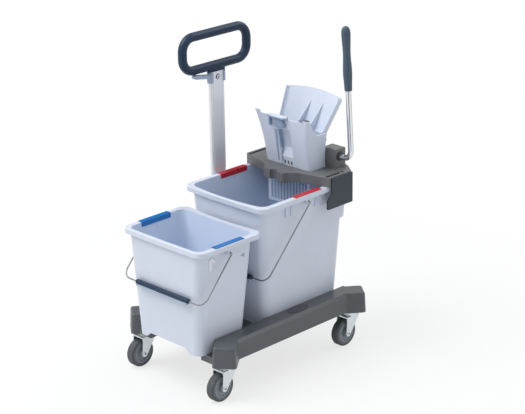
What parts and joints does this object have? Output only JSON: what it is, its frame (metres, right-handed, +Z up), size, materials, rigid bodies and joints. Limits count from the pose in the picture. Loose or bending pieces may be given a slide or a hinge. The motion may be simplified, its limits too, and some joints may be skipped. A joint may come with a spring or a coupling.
{
  "type": "mop bucket trolley",
  "caption": "Wheeled mop bucket trolley: dark frame on swivel casters with a push post and loop handle, a small and a large lift-out bucket, and a lever wringer.",
  "frame": {"origin": "on the floor, under the middle of the whole trolley's box", "axes": "+Z up; -Y towards the small bucket; +X towards the wringer's lever, with the push post on the -X side"},
  "size_m": [0.414, 0.6158, 0.9272],
  "materials": {
    "bucket_plastic": "satin moulded, pale blue grey",
    "press_plastic": "satin moulded, pale blue grey",
    "chassis_plastic": "fine grained moulded, dark grey",
    "plug_plastic": "smooth moulded, near black",
    "bridge_plastic": "fine grained moulded, warm grey",
    "side_clip_plastic": "fine grained moulded, slate",
    "grip_plastic": "satin moulded, dark slate",
    "hook_plastic": "satin moulded, blue grey",
    "latch_plastic": "satin moulded, blue grey",
    "blue_plastic": "smooth moulded",
    "red_plastic": "smooth moulded",
    "hub_plastic": "moulded, dark grey",
    "bush_plastic": "smooth moulded, black",
    "tyre_rubber": "grey, non marking",
    "post_aluminium": "clear anodised extrusion",
    "lever_chrome": "polished",
    "wire_steel": "drawn wire",
    "zinc_steel": "zinc plated"
  },
  "bodies": {
    "chassis": {"chassis_frame": "chassis_plastic", "socket_plug": "plug_plastic", "push_post": "post_aluminium", "push_handle": "grip_plastic", "hook_clip": "hook_plastic", "handle_screw": "zinc_steel", "post_screw": "zinc_steel", "caster_front_left_stem": "zinc_steel", "caster_front_right_stem": "zinc_steel", "caster_rear_left_stem": "zinc_steel", "caster_rear_right_stem": "zinc_steel"},
    "front_bucket": {"front_bucket": "bucket_plastic", "front_clip_left": "blue_plastic", "front_clip_right": "blue_plastic"},
    "front_bail": {"front_bail": "wire_steel", "front_bail_grip": "grip_plastic"},
    "rear_bucket": {"rear_bucket": "bucket_plastic", "rear_clip_left": "red_plastic", "rear_clip_right": "red_plastic"},
    "rear_bail": {"rear_bail": "wire_steel", "rear_bail_grip": "grip_plastic"},
    "press": {"press_bridge": "bridge_plastic", "press_side_clip_left": "side_clip_plastic", "press_side_clip_right": "side_clip_plastic", "press_basket": "press_plastic", "basket_screws": "zinc_steel", "press_latch": "latch_plastic", "press_sieve": "press_plastic", "jaw_hinge_rod": "zinc_steel", "shaft_bush_left": "bush_plastic", "shaft_bush_right": "bush_plastic", "spring_cap": "bridge_plastic", "return_spring": "zinc_steel"},
    "lever": {"lever_tube": "lever_chrome", "lever_grip": "grip_plastic", "push_finger_left": "bridge_plastic", "push_finger_right": "bridge_plastic", "finger_pins": "zinc_steel"},
    "jaw": {"press_jaw": "press_plastic"},
    "swivel_front_left": {"caster_front_left_fork": "zinc_steel", "caster_front_left_axle": "zinc_steel"},
    "wheel_front_left": {"caster_front_left_hub": "hub_plastic", "caster_front_left_tyre": "tyre_rubber"},
    "swivel_front_right": {"caster_front_right_fork": "zinc_steel", "caster_front_right_axle": "zinc_steel"},
    "wheel_front_right": {"caster_front_right_hub": "hub_plastic", "caster_front_right_tyre": "tyre_rubber"},
    "swivel_rear_left": {"caster_rear_left_fork": "zinc_steel", "caster_rear_left_axle": "zinc_steel"},
    "wheel_rear_left": {"caster_rear_left_hub": "hub_plastic", "caster_rear_left_tyre": "tyre_rubber"},
    "swivel_rear_right": {"caster_rear_right_fork": "zinc_steel", "caster_rear_right_axle": "zinc_steel"},
    "wheel_rear_right": {"caster_rear_right_hub": "hub_plastic", "caster_rear_right_tyre": "tyre_rubber"}
  },
  "joints": [
    {"name": "swivel_front_left", "type": "hinge", "parent": "chassis", "child": "swivel_front_left", "pos_m": [-0.159, -0.22584, 0.09], "axis": [0, 0, 1], "continuous": true},
    {"name": "wheel_front_left", "type": "hinge", "parent": "swivel_front_left", "child": "wheel_front_left", "pos_m": [-0.159, -0.25084, 0.04], "axis": [1, 0, 0], "continuous": true},
    {"name": "swivel_front_right", "type": "hinge", "parent": "chassis", "child": "swivel_front_right", "pos_m": [0.159, -0.22584, 0.09], "axis": [0, 0, 1], "continuous": true},
    {"name": "wheel_front_right", "type": "hinge", "parent": "swivel_front_right", "child": "wheel_front_right", "pos_m": [0.159, -0.25084, 0.04], "axis": [1, 0, 0], "continuous": true},
    {"name": "swivel_rear_left", "type": "hinge", "parent": "chassis", "child": "swivel_rear_left", "pos_m": [-0.159, 0.25816, 0.09], "axis": [0, 0, 1], "continuous": true},
    {"name": "wheel_rear_left", "type": "hinge", "parent": "swivel_rear_left", "child": "wheel_rear_left", "pos_m": [-0.159, 0.23316, 0.04], "axis": [1, 0, 0], "continuous": true},
    {"name": "swivel_rear_right", "type": "hinge", "parent": "chassis", "child": "swivel_rear_right", "pos_m": [0.159, 0.25816, 0.09], "axis": [0, 0, 1], "continuous": true},
    {"name": "wheel_rear_right", "type": "hinge", "parent": "swivel_rear_right", "child": "wheel_rear_right", "pos_m": [0.159, 0.23316, 0.04], "axis": [1, 0, 0], "continuous": true},
    {"name": "front_bucket_lift", "type": "slide", "parent": "chassis", "child": "front_bucket", "axis": [0, -0.1483, 0.9889], "range_m": [0, 0.08]},
    {"name": "front_bail_swing", "type": "hinge", "parent": "front_bucket", "child": "front_bail", "pos_m": [0, -0.19434, 0.402], "axis": [-1, 0, 0], "range_deg": [0, 175]},
    {"name": "rear_bucket_lift", "type": "slide", "parent": "chassis", "child": "rear_bucket", "axis": [0, 0, 1], "range_m": [0, 0.08]},
    {"name": "rear_bail_swing", "type": "hinge", "parent": "rear_bucket", "child": "rear_bail", "pos_m": [0, 0.10216, 0.465], "axis": [-1, 0, 0], "range_deg": [0, 5]},
    {"name": "press_lift", "type": "slide", "parent": "rear_bucket", "child": "press", "axis": [0, 0, 1], "range_m": [0, 0.13]},
    {"name": "lever_pull", "type": "hinge", "parent": "press", "child": "lever", "pos_m": [0, 0.25716, 0.548], "axis": [1, 0, 0], "range_deg": [0, 70], "stiffness_Nm_per_rad": 1.2, "springref_deg": -17.19},
    {"name": "jaw_press", "type": "hinge", "parent": "press", "child": "jaw", "pos_m": [0, 0.24016, 0.405], "axis": [1, 0, 0], "range_deg": [0, 12.5]}
  ],
  "couplings": [
    {"joint": "jaw_press", "follows": "lever_pull", "ratio": 0.17857}
  ]
}
